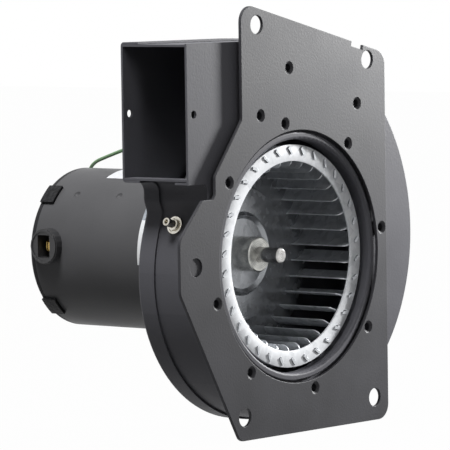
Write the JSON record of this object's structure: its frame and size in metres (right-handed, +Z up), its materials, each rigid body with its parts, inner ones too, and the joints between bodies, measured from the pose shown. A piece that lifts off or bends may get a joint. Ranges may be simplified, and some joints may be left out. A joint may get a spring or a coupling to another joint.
{
  "type": "centrifugal blower",
  "caption": "Draft blower: sheet-metal scroll housing on a mounting plate, forward-curved wheel turned by a motor behind it, side outlet.",
  "frame": {"origin": "centre of the inlet hole on the mounting plate's front face", "axes": "+Y back along the shaft towards the motor, +Z up, the outlet faces -X"},
  "size_m": [0.1935, 0.1555, 0.2183],
  "materials": {
    "black_plate": "satin powder coat on steel plate",
    "black_sheet": "satin paint on sheet steel",
    "black_shell": "satin paint on the motor shell",
    "galvanised_ring": "bright galvanised steel",
    "galvanised_steel": "galvanised steel",
    "zinc_plate": "zinc plated steel",
    "black_oxide_steel": "black oxide on steel",
    "ground_steel": "ground steel",
    "aluminium_sheet": "mill finish",
    "sintered_bronze": "sintered",
    "fibre": "pressed fibre",
    "electrical_steel": "varnished laminations",
    "copper_winding": "enamelled copper wire",
    "cast_aluminium": "as cast",
    "black_nylon": "moulded nylon",
    "brass_contact": "stamped brass",
    "nickel_plate": "nickel plated brass",
    "foil_label": "silver film, bare",
    "white_label": "white paper, bare",
    "green_pvc": "PVC insulation",
    "tinned_brass": "tinned brass"
  },
  "bodies": {
    "housing": {"mounting_plate": "black_plate", "inlet_sheet": "black_sheet", "scroll_wrap": "black_sheet", "back_cover": "black_sheet", "motor_shell": "black_shell", "motor_front_shield": "black_shell", "motor_end_cap": "black_shell", "front_bearing": "sintered_bronze", "rear_bearing": "sintered_bronze", "stator_core": "electrical_steel", "stator_coils": "copper_winding", "through_bolts": "zinc_plate", "mount_nuts": "zinc_plate", "mount_spacers": "zinc_plate", "power_socket": "black_nylon", "power_terminals": "brass_contact", "pressure_tap": "nickel_plate", "tap_nut": "nickel_plate", "rating_label": "foil_label", "wiring_label": "white_label", "ground_lead": "green_pvc", "ground_terminals": "tinned_brass", "ground_screws": "zinc_plate"},
    "rotor": {"wheel_front_ring": "galvanised_ring", "wheel_blades": "galvanised_steel", "wheel_back_disc": "galvanised_steel", "wheel_hub": "zinc_plate", "hub_set_screw": "black_oxide_steel", "shaft": "ground_steel", "cooling_disc": "aluminium_sheet", "thrust_washers": "fibre", "rotor_core": "electrical_steel", "rotor_cage": "cast_aluminium"}
  },
  "joints": [
    {"name": "shaft_spin", "type": "hinge", "parent": "housing", "child": "rotor", "pos_m": [0, 0, 0], "axis": [0, -1, 0], "continuous": true}
  ]
}
